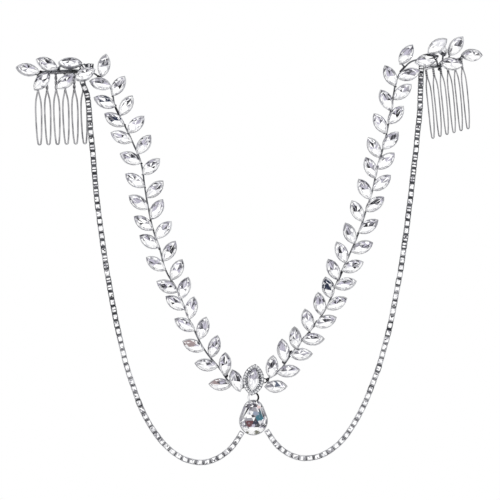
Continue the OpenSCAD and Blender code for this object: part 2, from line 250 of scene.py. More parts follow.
def silver_finish(name, light, dark, rough):
    """Silver plating: bright, with duller patches, fine drawing marks and a faint ripple."""
    made = bpy.data.materials.new(name)
    made.use_nodes = True
    shader = made.node_tree.nodes["Principled BSDF"]
    metal = Shade(made.node_tree)
    place = metal.node("TexCoord", {}, {}, "Object")
    patches = metal.node("TexNoise", {}, {"Vector": place, "Scale": 260.0, "Detail": 2.0}, "Fac")
    marks = metal.node("TexNoise", {}, {"Vector": place, "Scale": 5200.0, "Detail": 2.0}, "Fac")
    dull = metal.node("ValToRGB", {"stops": [(0.40, 0.0), (0.62, 1.0)]}, {0: patches})
    colour = metal.mix(dull, light, dark)
    bump = metal.node("Bump", {}, {"Height": marks, "Strength": 0.05, "Distance": 0.00004})
    for socket, value in {
        "Base Color": colour, "Roughness": rough + 0.16 * dull, "Normal": bump
    }.items():
        made.node_tree.links.new(value.socket, shader.inputs[socket])
    shader.inputs["Metallic"].default_value = 1.0
    return made


drawn_silver = silver_finish("drawn silver", (0.42, 0.42, 0.435, 1), (0.26, 0.26, 0.275, 1), 0.2)
# A lighter copy of the silver: painted light on the right comb's rail
painted_light_silver = silver_finish("bright silver", (0.9, 0.9, 0.92, 1), (0.7, 0.7, 0.73, 1), 0.12)


def back_of(z):
    """How far back a tooth has bent at height z."""
    return tooth_bow * (z / tooth_l) ** 2


def comb(name, comb_wire, twist, at, rail_finish):
    """A comb of wire as thick as comb_wire, with its teeth twisted down to the depth twist."""
    bm = bmesh.new()
    half = (teeth - 1) / 2 * tooth_pitch
    wire(bm, [(-half - rail_over, 0, 0), (half + rail_over, 0, 0)], rail, at, slot=1,
         smooth=False)
    wound = []
    for i in range(winding_turns * winding_steps + 1):
        a = math.tau * i / winding_steps
        along = i / (winding_turns * winding_steps)
        wound.append((-half - winding_over + 2 * (half + winding_over) * along,
                      winding_r * math.sin(a), winding_r * math.cos(a)))
    wire(bm, wound, winding, at, slot=1, smooth=False)
    for k in range(teeth):
        x = k * tooth_pitch - half
        sides = []
        for side in (-1, 1):
            strand = []
            for i in range(twist_steps + 1):
                z = -twist_top - (twist - twist_top) * i / twist_steps
                a = math.tau * (2 * i / twist_steps) + (0 if side > 0 else math.pi)
                strand.append((x + twist_r * math.cos(a), back_of(z) + twist_r * math.sin(a), z))
            for drop, out in opening_loop:
                if twist + drop < tooth_l - open_above:
                    strand.append((x + side * out, back_of(-twist - drop), -twist - drop))
            for z, out in closing_loop:
                strand.append((x + side * out, back_of(z), z))
            sides.append(strand)
        turn = [(x + tooth_end_r * math.cos(a), back_of(tooth_end),
                 tooth_end + tooth_end_r * math.sin(a))
                for a in (math.radians(b) for b in (-150, -90, -30))]
        wire(bm, sides[0] + turn + sides[1][::-1], comb_wire, at)
    piece(name + "_wires", bm, [drawn_silver, rail_finish], name)


left_comb_at = Matrix.Rotation(math.radians(-1.4), 4, "Y")
right_comb_at = (Matrix.Translation(Vector((169, 5.6, 4)) * mm)
                 @ Matrix.Rotation(math.radians(35), 4, "Z")
                 @ Matrix.Rotation(math.radians(-13), 4, "Y")
                 @ Matrix.Rotation(math.radians(3), 4, "X"))
comb("left_comb", 0.76, 8.6, left_comb_at, drawn_silver)
comb("right_comb", 0.62, 4.2, right_comb_at, painted_light_silver)

# ---------------------------------------------------------------------------------------------
# Branches. A silver stem runs down each vine, and every leaf is a stamped cup with a thin rim,
# soldered to the stem or to a stalk by its point. The solder shows dark at the leaves' feet. The
# stems and stalks are painted dark grey as shade, and dark sleeves on the stems are painted shade.
stone_l = 10
stone_w = 5
rim_t = 0.3
cup_h = 1.8
floor_t = 0.6
cup_back = 0.05
cup_l = stone_l + 2 * rim_t
cup_w = stone_w + 2 * rim_t
cup_steps = 7
vine_y = -3.6
solder_y = -3.9
vine_lean = 8
stem = 0.75
stalk = 0.8
shade_sleeve = 1.0
least_stalk = 1.2
# In a leaf's own directions: where the solder sits at its foot, and where its stalk ends
foot_solder = Vector((-0.1, -0.7, 0)) * mm
stalk_tip = Vector((0.9, -0.35, 0)) * mm
no_width = 0.0001
silver = silver_finish("silver plate", (0.64, 0.645, 0.67, 1), (0.40, 0.40, 0.43, 1), 0.12)
# Dark grey silver: painted shade on the stems, stalks, the halo's plate and the chain's upper cups
painted_shade_silver = silver_finish("painted shade silver", (0.225, 0.235, 0.25, 1), (0.09, 0.095, 0.105, 1), 0.18)
# Near black: the colour of the solder, and painted shade on the sleeves over the stems and on the
# chain's links
solder = silver_finish("solder", (0.07, 0.07, 0.08, 1), (0.02, 0.02, 0.024, 1), 0.30)

# Columns: x, z, aim of the outer leaf, aim of the inner leaf, lean of each in degrees, place of
# the inner leaf's foot on the way to the next station
left_stations = [
    [22, -6.5, 168, 57, 20, 0, 0.45], [24.3, -15.4, 157, 58, 2, -3, 0.45],
    [28.5, -23.6, 148, 46, -2, 1, 0.45], [31.8, -30.6, 157, 55, 1, -2, 0.6],
    [35.7, -40.2, 157, 42, 0, 3, 0.45], [37.3, -50.7, 146, 46, -3, -1, 0.48],
    [38.9, -60, 145, 59, 3, -4, 0.53], [41, -69.4, 145, 46, -1, 6, 0.47],
    [43.8, -77.5, 149, 59, -6, -2, 0.58], [46.5, -87.2, 146, 62, -2, 2, 0.45],
    [51.9, -96.4, 154, 69, 1, 6, 0.405], [55.1, -104.6, 146, 78, -6, 0, 0.45],
    [59.2, -113.9, 150, 73, 0, -3, 0.45], [63.5, -122.1, 158, 73, 2, 1, 0.47],
    [69.5, -129.5, 171, 90, -2, -1, 0.5]
]
left_last = [76.4, -137.7]
right_stations = [
    [148.5, -2.5, 18, 118, 0, -2, 0.39], [146.5, -12, 40, 119, -3, 3, 0.45],
    [144.5, -23, 49, 122, -4, -3, 0.37], [142, -34, 47, 120, -2, 1, 0.42],
    [139.5, -42.5, 44, 114, 2, -1, 0.46], [137.5, -52, 40, 120, -1, 2, 0.43],
    [134.5, -61.5, 37, 117, -3, 0, 0.45], [131.4, -70.7, 33, 112, 1, 12, 0.55],
    [128, -78.9, 23, 115, -2, 6, 0.58], [124, -87.5, 22, 116, 0, -2, 0.56],
    [120.9, -94.8, 14, 102, 8, 22, 0.44], [117.1, -103.8, 26, 98, 4, 4, 0.4],
    [112, -111.4, 21, 103, 1, 4, 0.42], [106.6, -117.9, 1, 95, 12, 14, 0.55],
    [101.5, -124.5, 1, 97, 14, -2, 0.39]
]
right_last = [95.5, -132.5]
# Columns: x, y, z of the rod along the comb's rail and of the stem's way from it to the vine
left_way = [
    [-9.5, -1.4, 0.2], [5.5, -1.4, 0.9], [7.3, -4, 0.8], [14.5, -4, -0.4], [17.5, vine_y, -2.5]
]
right_way = [
    [177, 9.5, 5.9], [164.5, 0.86, 2.3], [161.6, -1.6, 3.4], [159, -2.7, 5.2],
    [155, -3.4, 4.8], [151.8, vine_y, 2.2]
]
# Columns: x, y, z of the leaf's foot, its aim, lean, roll and turn in degrees, then x, y, z of the
# stalk's root
left_spray = [
    [-9.2, -2.2, -0.3, 171, 6, 20, 0, -8.5, -1.4, 0.25],
    [-1.2, -2.6, 1.3, 157, 8, 8, 0, -0.5, -1.4, 0.6],
    [-0.8, -2.4, 3.3, -2, 4, -36, 0, -0.5, -1.4, 0.6],
    [-4.4, -2.4, -0.3, 230, 8, 10, 0, -4, -1.4, 0.45],
    [6.6, -2.6, -0.9, 217, 8, -6, 0, 5.5, -1.4, 0.9],
    [15.2, -4.6, 0.6, 211, 24, 12, 0, 14.5, -4, -0.4],
    [18.1, -4.1, -2.2, 79, 8, 10, 0, 17.5, vine_y, -2.5],
    [75.6, vine_y, -137.6, 178, 8, 0, 0, 76.4, vine_y, -137.7],
    [78.9, -5.2, -140.5, 110, 12, 10, 0, 78.1, -3.3, -138.2]
]
right_spray = [
    [176.6, 6.9, 7.9, 1, 2, 6, 32, 176, 9.1, 5.7],
    [171.1, 2.4, 7.4, 54, 10, -8, 26, 171, 5.3, 4.1],
    [161.6, -2.7, 8.5, 40, 14, 8, 16, 162, -1, 3.7],
    [168.7, 1.5, 7, 70, -62, 0, 20, 168.4, 3.5, 3.4],
    [166.3, -3, 6.2, 193, 3, 8, 0, 166.5, 2.2, 2.8],
    [166.9, -0.5, 4.2, -8, 4, -10, 8, 167.4, 2.9, 3.1],
    [149.4, vine_y, 3.4, 57, 8, 4, 0, 151.6, vine_y, 2.2],
    [95.5, vine_y, -132.5, 7, 10, -8, 0, 95.5, vine_y, -132.5],
    [90.5, vine_y, -138.2, 3, 24, 6, 0, 91.8, -3.3, -134.7],
    [92.4, vine_y, -134.4, 83, 16, 6, 0, 92.4, vine_y, -134.4]
]


def posed(foot, aim, lean, roll, turn=0):
    """A leaf's place: X from its foot to its point, -Y out of its face."""
    return (Matrix.Translation(Vector(foot) * mm)
            @ Matrix.Rotation(math.radians(turn), 4, "Z")
            @ Matrix.Rotation(math.radians(-aim), 4, "Y")
            @ Matrix.Rotation(math.radians(roll), 4, "X")
            @ Matrix.Rotation(math.radians(-lean), 4, "Z"))


def roll_of(i):
    """The small roll that sets each leaf of a vine apart from the next."""
    return 9 * math.sin(math.radians(97 * i + 40))


def outer_places(stations):
    """Places of the leaves that grow from the stations, on the vine's outer side."""
    return [posed((s[0], vine_y, s[1]), s[2], vine_lean + s[4], roll_of(i))
            for i, s in enumerate(stations)]


def inner_places(stations, last):
    """Places of the leaves that grow between the stations, on the vine's inner side."""
    places = []
    for i, s in enumerate(stations):
        ahead = stations[i + 1] if i + 1 < len(stations) else last
        foot = (s[0] + s[6] * (ahead[0] - s[0]), vine_y, s[1] + s[6] * (ahead[1] - s[1]))
        places.append(posed(foot, s[3], vine_lean + s[5], -roll_of(i + 5)))
    return places


def spray_places(spray):
    return [posed(s[0:3], s[3], s[4], s[5], s[6]) for s in spray]


def navette(bm, length, width, steps):
    """A pointed oval of two arcs in X and Z, filled as one face towards -Y."""
    radius = (length * length + width * width) / (4 * width)
    sweep = 2 * math.asin(length / 2 / radius)
    for side in (-1, 1):
        tip = bm.verts.new((-length / 2, 0, 0))
        bmesh.ops.spin(bm, geom=[tip], cent=(0, 0, side * (radius - width / 2)),
                       axis=(0, 1, 0), angle=-side * sweep, steps=steps)
    bmesh.ops.remove_doubles(bm, verts=bm.verts, dist=0.001)
    bmesh.ops.contextual_create(bm, geom=bm.edges[:])
    return facing_front(bm)


def facing_front(bm):
    """The one face of a flat outline, turned towards -Y."""
    bm.faces.ensure_lookup_table()
    face = bm.faces[0]
    face.normal_update()
    if face.normal.y > 0:
        face.normal_flip()
    return face


def raised(bm, face, height):
    """Pulls a face out into a block and returns its front face."""
    made = bmesh.ops.extrude_face_region(bm, geom=[face])["geom"]
    front_face = [g for g in made if isinstance(g, bmesh.types.BMFace)][0]
    bmesh.ops.translate(bm, vec=(0, -height, 0), verts=front_face.verts)
    front_face.normal_update()
    return front_face


def base_mesh(name, bm, at):
    """Keeps a small shape, worked out in millimetres, as a mesh to copy."""
    bmesh.ops.recalc_face_normals(bm, faces=bm.faces)
    bmesh.ops.transform(bm, matrix=Matrix.Scale(mm, 4) @ at, verts=bm.verts)
    mesh = bpy.data.meshes.new(name)
    bm.to_mesh(mesh)
    bm.free()
    return mesh


leaf_cup = bmesh.new()
cup_face = raised(leaf_cup, navette(leaf_cup, cup_l, cup_w, cup_steps), cup_h)
rim = list(cup_face.edges)
bmesh.ops.inset_region(leaf_cup, faces=[cup_face], thickness=rim_t)
rim += list(cup_face.edges)
bmesh.ops.inset_region(leaf_cup, faces=[cup_face], thickness=no_width, depth=floor_t - cup_h)
bmesh.ops.bevel(leaf_cup, geom=rim, offset=rim_t * 0.3, affect="EDGES", segments=1,
                profile=0.5, material=-1, offset_type="OFFSET")
leaf_cup = base_mesh("leaf cup", leaf_cup, Matrix.Translation((cup_l / 2, -cup_back, 0)))
blob = bmesh.new()
bmesh.ops.create_icosphere(blob, subdivisions=2, radius=0.5)
blob = base_mesh("solder drop", blob, Matrix.Identity(4))
for face in blob.polygons:
    face.use_smooth = True


def branch(name, node, way, stations, last, tail, spray, knots, shade_sleeves):
    """A stem painted dark grey as shade, with its leaf cups, large knots of solder and dark sleeves
    of painted shade over it.
    """
    bm = bmesh.new()
    vine = [[s[0], vine_y, s[1]] for s in stations] + [[last[0], vine_y, last[1]]]
    wire(bm, way + vine + [tail], stem, slot=2)
    luck = random.Random(name)
    vine_leaves = outer_places(stations) + inner_places(stations, last)
    spray_leaves = spray_places(spray)
    for place in vine_leaves + spray_leaves:
        placed(bm, leaf_cup, place)
    for place in vine_leaves:
        fat = luck.uniform(0.4, 0.9)
        foot = place @ Matrix.Translation(foot_solder)
        placed(bm, blob, foot @ Matrix.Diagonal((1.3 * fat, 1.5, fat, 1)), 1)
    for s, place in zip(spray, spray_leaves):
        root = Vector(s[7:10])
        end = place @ stalk_tip / mm
        if (end - root).length > least_stalk:
            wire(bm, [root, end], stalk, slot=2, smooth=False)
    for x, y, z, size in knots:
        placed(bm, blob, Matrix.Translation(Vector((x, y, z)) * mm) @ Matrix.Scale(size, 4), 1)
    for x, z, x_end, z_end in shade_sleeves:
        wire(bm, [(x, vine_y, z), (x_end, vine_y, z_end)], shade_sleeve, slot=1, smooth=False)
    piece(name, bm, [silver, solder, painted_shade_silver], node)


# The halo's lugs, behind it, and the bearing on the page from each to its vine
lug_y = -3.1
left_lug = (81, lug_y, -138.2)
right_lug = (89.3, lug_y, -136.4)
left_bearing = math.pi
right_bearing = math.radians(38)
link_ring_w = 1.8


def tail_of(lug, bearing):
    """The end of a vine's stem, a link ring's width away from the halo's lug."""
    return [lug[0] + link_ring_w * math.cos(bearing), lug_y,
            lug[2] + link_ring_w * math.sin(bearing)]


# Columns: x, y, z of a knot of solder and its size
left_knots = [
    (73.1, solder_y, -133.6, 2), (16.9, solder_y, -2, 1.4), (24.3, solder_y, -14.8, 1.3),
    (28.4, solder_y, -23.4, 1.3), (79.4, solder_y, -138.2, 1.2), (-0.6, -1.6, 1.8, 1.3),
    (-8.6, -1.6, 0.2, 1.3)
]
right_knots = [
    (147.2, solder_y, -5.6, 1.7), (144.9, solder_y, -16.2, 1.6), (142.7, solder_y, -26.6, 1.5),
    (138.2, solder_y, -46, 1.5), (101.8, solder_y, -123.4, 1.9), (98.4, solder_y, -127.6, 1.6),
    (91.3, solder_y, -135.3, 1.6), (167.1, 4, 1.5, 1.5), (176, 8.7, 5.6, 1.5)
]
# Columns: x and z where the painted shade on the stem begins, x and z where it ends
left_shade_sleeves = [(24.5, -15.8, 26.5, -19.7), (43.3, -76.3, 43.9, -78.2)]
right_shade_sleeves = [
    (147.2, -8.5, 146.5, -12), (146, -15, 144.8, -21.3), (141.3, -36.5, 139.7, -41.8),
    (130.3, -73, 129.3, -75.3), (124.9, -86, 122, -92.5), (113.2, -109.4, 111.4, -112.2),
    (162.3, 8.1, 166.6, 6.8), (151.6, 2.2, 149.6, 0)
]
branch("left_stem", "left_branch", left_way, left_stations, left_last,
       tail_of(left_lug, left_bearing), left_spray, left_knots, left_shade_sleeves)
branch("right_stem", "right_branch", right_way, right_stations, right_last,
       tail_of(right_lug, right_bearing), right_spray, right_knots, right_shade_sleeves)

# ---------------------------------------------------------------------------------------------
# Leaf stones. Foiled crystal navettes, cut with a table and two rows of crown facets, and set in
# their cups. Their facets are painted with the room's reflection in the foil: dark and lavender
# greys above, white below.
fit = 0.05
stone_girdle = 1.1
# Columns: how far a row of crown facets goes inwards, and how far up
stone_crown = [(0.62, 0.60), (0.42, 0.40)]
girdle_top = cup_back + floor_t + fit + stone_girdle
# A stone's middle, and half its height on the page when it lies flat and when it stands
stone_middle = Vector((cup_l / 2, -2.2, 0)) * mm
half_lying = 1.7 * mm
half_standing = 3.3 * mm
quiet_share = 0.3
black = (0.008, 0.008, 0.012)
dark = (0.07, 0.07, 0.082)
grey = (0.30, 0.295, 0.33)
lavender = (0.45, 0.43, 0.52)
pale_grey = (0.68, 0.68, 0.71)
white = (1.0, 1.0, 1.0)

# Each facet has its own painted tone, a reflection of the room in the foil, broken by smaller
# painted flashes of light from inside the stone
crystal = bpy.data.materials.new("foiled crystal")
crystal.use_nodes = True
glass_shader = crystal.node_tree.nodes["Principled BSDF"]
glass = Shade(crystal.node_tree)
tone = glass.node("Attribute", {"attribute_name": "facet"}, {}, "Color")
place = glass.node("TexCoord", {}, {}, "Object")
cells = glass.node("TexVoronoi", {"feature": "F1"}, {"Vector": place, "Scale": 1500.0}, "Color")
flash = glass.node("SeparateColor", {}, {0: cells}, "Red") > 0.86
colour = glass.mix(0.30 * flash, tone, (0.40, 0.40, 0.45, 1))
crystal.node_tree.links.new(colour.socket, glass_shader.inputs["Base Color"])
crystal.node_tree.links.new((0.04 + 0.05 * flash).socket, glass_shader.inputs["Roughness"])
glass_shader.inputs["Metallic"].default_value = 0.35
glass_shader.inputs["IOR"].default_value = 1.40
glass_shader.inputs["Coat Weight"].default_value = 0.15
glass_shader.inputs["Coat Roughness"].default_value = 0.02


def cut_stone(bm, face, girdle, rows):
    """Raises a stone from its outline: a girdle, rows of crown facets and a poked table."""
    front_face = raised(bm, face, girdle)
    for inwards, upwards in rows:
        bmesh.ops.inset_region(bm, faces=[front_face], thickness=inwards, depth=upwards)
    bmesh.ops.poke(bm, faces=[front_face])
    bmesh.ops.triangulate(bm, faces=[f for f in bm.faces if len(f.verts) == 4],
                          quad_method="ALTERNATE")


leaf_stone = bmesh.new()
cut_stone(leaf_stone, navette(leaf_stone, stone_l - 2 * fit, stone_w - 2 * fit, cup_steps),
          stone_girdle, stone_crown)
leaf_stone = base_mesh("leaf stone", leaf_stone,
                       Matrix.Translation((cup_l / 2, -cup_back - floor_t - fit, 0)))


def drawn(luck, *shares):
    """One of several tones, each with its share; the last one takes what is left."""
    spin = luck.random()
    for tone, share in shares:
        spin -= share
        if spin < 0:
            return tone
    return shares[-1][0]


def paint(face, facet, tone):
    """Gives one facet its tone."""
    for loop in face.loops:
        loop[facet] = (*tone, 1)


def leaf_tone(up, high, luck):
    """Painted reflection on a facet: up is its place across the stone, high its place from girdle
    to table.
    """
    if high < 0.05:
        return dark
    on_table = high > 0.93
    if on_table and up > 0.04:
        return drawn(luck, (black, 0.30), (dark, 0.2), (grey, 0.16), (lavender, 0.12),
                     (white, 1))
    if on_table and up > -0.2:
        return drawn(luck, (black, 0.16), (grey, 0.14), (pale_grey, 0.2), (white, 1))
    if on_table:
        return drawn(luck, (pale_grey, 0.12), (white, 1))
    if up > 0.3:
        return drawn(luck, (dark, 0.17), (grey, 0.24), (lavender, 0.14), (pale_grey, 0.2),
                     (white, 1))
    if up > -0.2:
        return drawn(luck, (dark, 0.06), (grey, 0.18), (pale_grey, 0.22), (white, 1))
    return drawn(luck, (grey, 0.08), (pale_grey, 0.14), (white, 1))


def leaf_stones(name, node, places, special):
    """The stones of one kind of leaf. Special gives single stones a painted reflection's colour and
    its reach.
    """
    bm = bmesh.new()
    facet = bm.loops.layers.float_color.new("facet")
    luck = random.Random(name)
    for i, place in enumerate(places):
        middle = place @ stone_middle
        quiet = luck.random() < quiet_share
        steep = abs((place.to_3x3() @ Vector((1, 0, 0))).z)
        half_height = half_lying + (half_standing - half_lying) * steep
        inverse = place.inverted()
        for face in placed(bm, leaf_stone, place):
            centre = face.calc_center_median()
            inside = (inverse @ centre) / mm
            up = (centre - middle).z / half_height
            tone = leaf_tone(up, -inside.y - girdle_top, luck)
            if quiet and tone == black:
                tone = lavender
            if i in special:
                colour, start, end = special[i]
                if start < inside.x / cup_l < end and up > -0.15 and tone != white:
                    tone = colour
            paint(face, facet, tone)
    piece(name, bm, [crystal], node)


blue_black = (0.012, 0.02, 0.05)
rose = (0.31, 0.245, 0.25)
slate = (0.10, 0.12, 0.17)
# The tables after the places: number of the stone, the colour of its painted reflection, where
# along it that begins and ends
leaf_stones("left_outer_crystals", "left_outer_stones", outer_places(left_stations),
            {1: (blue_black, 0.3, 0.7), 2: (blue_black, 0.3, 0.6), 13: (rose, 0.5, 1)})
leaf_stones("left_inner_crystals", "left_inner_stones", inner_places(left_stations, left_last), {})
leaf_stones("left_spray_crystals", "left_spray_stones", spray_places(left_spray),
            {7: (rose, 0.6, 1)})
leaf_stones("right_outer_crystals", "right_outer_stones", outer_places(right_stations), {})
leaf_stones("right_inner_crystals", "right_inner_stones", inner_places(right_stations, right_last),
            {10: (blue_black, 0, 1)})
leaf_stones("right_spray_crystals", "right_spray_stones", spray_places(right_spray),
            {2: (pale_grey, 0.35, 1), 3: (white, 0, 1), 4: (black, 0.05, 0.5),
             8: (slate, 0.48, 0.75)})

# ---------------------------------------------------------------------------------------------
# Cup chains. Small plated cups in a row, each folded over a square stone with its corners cut off,
# and joined to the next by a short flat link, painted near black for the shadow it lies in between
# them.
pitch = 3.26
chain_w = 2.4
chain_cup_l = 2.9
chain_cup_h = 1.7
chain_cup_corner = 0.12
chain_cup_wall = 0.24
chain_cup_hollow = 0.9
chain_cup_back = 0.95
chain_stone_l = 2.3
chain_stone_w = 1.88
chain_stone_corner = 0.2
chain_stone_girdle = 0.75
chain_stone_crown = [(0.28, 0.36)]
chain_stone_back = 0.1
chain_stone_end = 0.7
chain_link_size = (1.2, 0.7, 2.25)
chain_end = 1.15
chain_tilt = 7
rung_half = 0.28
route_steps = 20
# The chain's middle starts at this depth, and comes forward as it falls below forward_from
chain_y = -2.25
chain_forward = 2.6
forward_from = -5
forward_over = 150
# Columns: x and z of the chain's middle
left_route = [
    [14.5, 2.5], [12, 2.6], [10, 2], [9.2, 0], [9.5, -2.5], [10.3, -5.7], [11.6, -9],
    [12.3, -12.5], [12.8, -17], [13.4, -25.5], [14.1, -32], [14.7, -38.5], [15.4, -47.5],
    [16.3, -56.5], [17.5, -66], [18.9, -76], [20.2, -85], [21.7, -93.5], [23.3, -102.5],
    [25.1, -111.5], [27, -120], [29.2, -129], [32, -137.5], [35.2, -146.5], [39.5, -155],
    [44.4, -162], [49.5, -167], [55, -170.3], [61, -171.7], [66.5, -171], [71.5, -168.5],
    [76, -164.5], [80.2, -158.3]
]
right_route = [
    [159.1, 2.6], [158.8, -3.5], [158.6, -10], [158.4, -16], [158, -21], [157.3, -27],
    [156.6, -34.5], [155.8, -41], [155.1, -47.5], [154.4, -54], [153.6, -60], [152.7, -67.5],
    [151.5, -76], [150.2, -85], [148.7, -93.5], [147, -102.5], [145.2, -111.5], [143, -120],
    [140.5, -129], [137.4, -137.5], [133.7, -146.5], [129.1, -155], [124.1, -162],
    [119.2, -166.2], [114.4, -168.8], [109.6, -169.8], [104.7, -169.5], [100, -167.6],
    [95.6, -164.2], [90.75, -157.55]
]

chain_cup = bmesh.new()
bmesh.ops.create_grid(chain_cup, x_segments=1, y_segments=1, size=0.5,
                      matrix=Matrix.Rotation(math.pi / 2, 4, "X"))
bmesh.ops.scale(chain_cup, vec=(chain_cup_l, 1, chain_w), verts=chain_cup.verts)
bmesh.ops.bevel(chain_cup, geom=chain_cup.verts[:], offset=chain_cup_corner, affect="VERTICES",
                segments=1, profile=0.5, material=-1)
cup_face = raised(chain_cup, facing_front(chain_cup), chain_cup_h)
bmesh.ops.inset_region(chain_cup, faces=[cup_face], thickness=chain_cup_wall)
bmesh.ops.inset_region(chain_cup, faces=[cup_face], thickness=no_width, depth=-chain_cup_hollow)
chain_cup = base_mesh("chain cup", chain_cup, Matrix.Translation((0, chain_cup_back, 0)))

chain_stone = bmesh.new()
bmesh.ops.create_grid(chain_stone, x_segments=1, y_segments=1, size=0.5,
                      matrix=Matrix.Rotation(math.pi / 2, 4, "X"))
bmesh.ops.scale(chain_stone, vec=(chain_stone_l, 1, chain_stone_w), verts=chain_stone.verts)
bmesh.ops.bevel(chain_stone, geom=chain_stone.verts[:], offset=chain_stone_corner,
                affect="VERTICES", segments=1, profile=0.5, material=-1)
cut_stone(chain_stone, facing_front(chain_stone), chain_stone_girdle, chain_stone_crown)
for x in (-rung_half, rung_half):
    bmesh.ops.bisect_plane(chain_stone, geom=chain_stone.verts[:] + chain_stone.edges[:]
                           + chain_stone.faces[:], plane_co=(x, 0, 0), plane_no=(1, 0, 0))
chain_stone = base_mesh("chain stone", chain_stone,
                        Matrix.Translation((0, chain_stone_back, 0)))

chain_link = bmesh.new()
bmesh.ops.create_cube(chain_link, size=1, matrix=Matrix.Diagonal((*chain_link_size, 1)))
chain_link = base_mesh("chain link", chain_link, Matrix.Identity(4))


def smooth_route(route):
    """Points close together on the curve that the chain hangs in, in X, Y and Z."""
    line = []
    for k in range(len(route) - 1):
        a, b, c, d = (Vector(route[min(max(k + j, 0), len(route) - 1)]) for j in (-1, 0, 1, 2))
        for i in range(route_steps):
            t = i / route_steps
            x, z = 0.5 * (2 * b + (c - a) * t + (2 * a - 5 * b + 4 * c - d) * t * t
                          + (3 * b - a - 3 * c + d) * t ** 3)
            fallen = min(max(forward_from - z, 0) / forward_over, 1)
            line.append(Vector((x, chain_y - chain_forward * fallen, z)))
    return line


def chain(name, node, route):
    """A chain of cups with their stones and links, darker and duller towards the comb, where more
    is painted shade.
    """
    bm = bmesh.new()
    facet = bm.loops.layers.float_color.new("facet")
    luck = random.Random(name)
    line = smooth_route(route)
    gone = [0]
    for a, b in zip(line, line[1:]):
        gone.append(gone[-1] + (b - a).length)
    count = round((gone[-1] - 2 * chain_end) / pitch) + 1
    step = (gone[-1] - 2 * chain_end) / (count - 1)

    def spot(goal):
        """The place at this length along the chain: X along it and -Y out of its face."""
        k = max(i for i, g in enumerate(gone[:-1]) if g <= goal)
        part = (goal - gone[k]) / (gone[k + 1] - gone[k])
        here = line[k].lerp(line[k + 1], part)
        along = (line[min(k + 2, len(line) - 1)] - line[max(k - 1, 0)]).normalized()
        side = along.cross(Vector((0, 1, 0))).normalized()
        out = side.cross(along)
        turn = Matrix((along, out, side)).transposed().to_4x4()
        return Matrix.Translation(here * mm) @ turn

    # Cups painted with shade, and dark bars across the stones and dark stone ends painted as
    # reflections, grow rarer down the chain
    for i in range(count):
        down = i / count
        tilt = Matrix.Rotation(math.radians(luck.uniform(-chain_tilt, chain_tilt)), 4, "X")
        at = spot(chain_end + i * step) @ tilt
        placed(bm, chain_cup, at, 3 if luck.random() < 1.25 - 1.5 * down else 0)
        rung = luck.random() < 1.0 - 1.9 * down
        back = at.inverted()
        for face in placed(bm, chain_stone, at, 1):
            inside = (back @ face.calc_center_median()) / mm
            if rung and abs(inside.x) < rung_half:
                tone = dark
            elif abs(inside.x) > chain_stone_end:
                tone = drawn(luck, (dark, 0.4 - 0.25 * down), (grey, 0.3), (white, 1))
            else:
                tone = drawn(luck, (black, 0.06), (grey, 0.14), (pale_grey, 0.15), (white, 1))
            paint(face, facet, tone)
        # Each link between cups is painted near black, as shade
        if i + 1 < count:
            placed(bm, chain_link, spot(chain_end + (i + 0.5) * step), 2)
    piece(name, bm, [silver, crystal, solder, painted_shade_silver], node)


chain("left_chain_cups", "left_chain", left_route)
chain("right_chain_cups", "right_chain", right_route)

# ---------------------------------------------------------------------------------------------
# Halo. A pointed oval plate of cast silver round the centre stone, painted dark as shade, paved
# with small round stones in collars, with a row of beads inside them. Lugs on its back hold the
# rings to the vines and to the drop.
halo_x = 85.1
halo_z = -135.4
halo_lean = math.radians(7)
halo_at = (Matrix.Translation(Vector((halo_x, vine_y, halo_z)) * mm)
           @ Matrix.Rotation(halo_lean, 4, "Y") @ Matrix.Rotation(-math.pi / 2, 4, "Y"))
plate_l = 14
plate_w = 9.4
plate_side = 1.55
plate_steps = 9
pave_y = -1.75
pave_r = 0.48
pave_girdle = 0.15
pave_crown = [(0.2, 0.16)]
pave_back = 0.05
collar_r = 0.62
collar_h = 0.25
collar_wall = 0.1
collar_hollow = 0.15
bead = 0.6
# The inner and outer radius and the thickness of the eyes
side_eye = {"out": 0.8, "hole": 0.42, "thick": 0.6}
lower_eye = {"out": 1.2, "hole": 0.6, "thick": 0.9}
lower_eye_y = -2.9
halo_eye_z = -141

plate = bmesh.new()
plate_face = raised(plate, navette(plate, plate_l, plate_w, plate_steps), plate_side)
# Columns: how much shorter and narrower each new edge of the plate is, and how far up it lies
for shorter, narrower, upwards in [
    (13.7 / plate_l, 9.1 / plate_w, 0.15), (10.7 / 13.7, 5.5 / 9.1, 0),
    (10.4 / 10.7, 5.2 / 5.5, -0.15), (1, 1, floor_t - plate_side)
]:
    bmesh.ops.inset_region(plate, faces=[plate_face], thickness=no_width, depth=upwards)
    bmesh.ops.scale(plate, vec=(shorter, 1, narrower), verts=plate_face.verts)
plate = base_mesh("halo plate", plate, Matrix.Translation((0, -cup_back, 0)))

pave = bmesh.new()
bmesh.ops.create_circle(pave, cap_ends=True, segments=8, radius=pave_r,
                        matrix=Matrix.Rotation(math.pi / 2, 4, "X"))
cut_stone(pave, facing_front(pave), pave_girdle, pave_crown)
pave = base_mesh("pave stone", pave, Matrix.Translation((0, pave_back, 0)))
collar = bmesh.new()
bmesh.ops.create_circle(collar, cap_ends=True, segments=10, radius=collar_r,
                        matrix=Matrix.Rotation(math.pi / 2, 4, "X"))
collar_face = raised(collar, facing_front(collar), collar_h)
bmesh.ops.inset_region(collar, faces=[collar_face], thickness=collar_wall)
bmesh.ops.inset_region(collar, faces=[collar_face], thickness=no_width, depth=-collar_hollow)
collar = base_mesh("pave collar", collar, Matrix.Translation((0, pave_back, 0)))


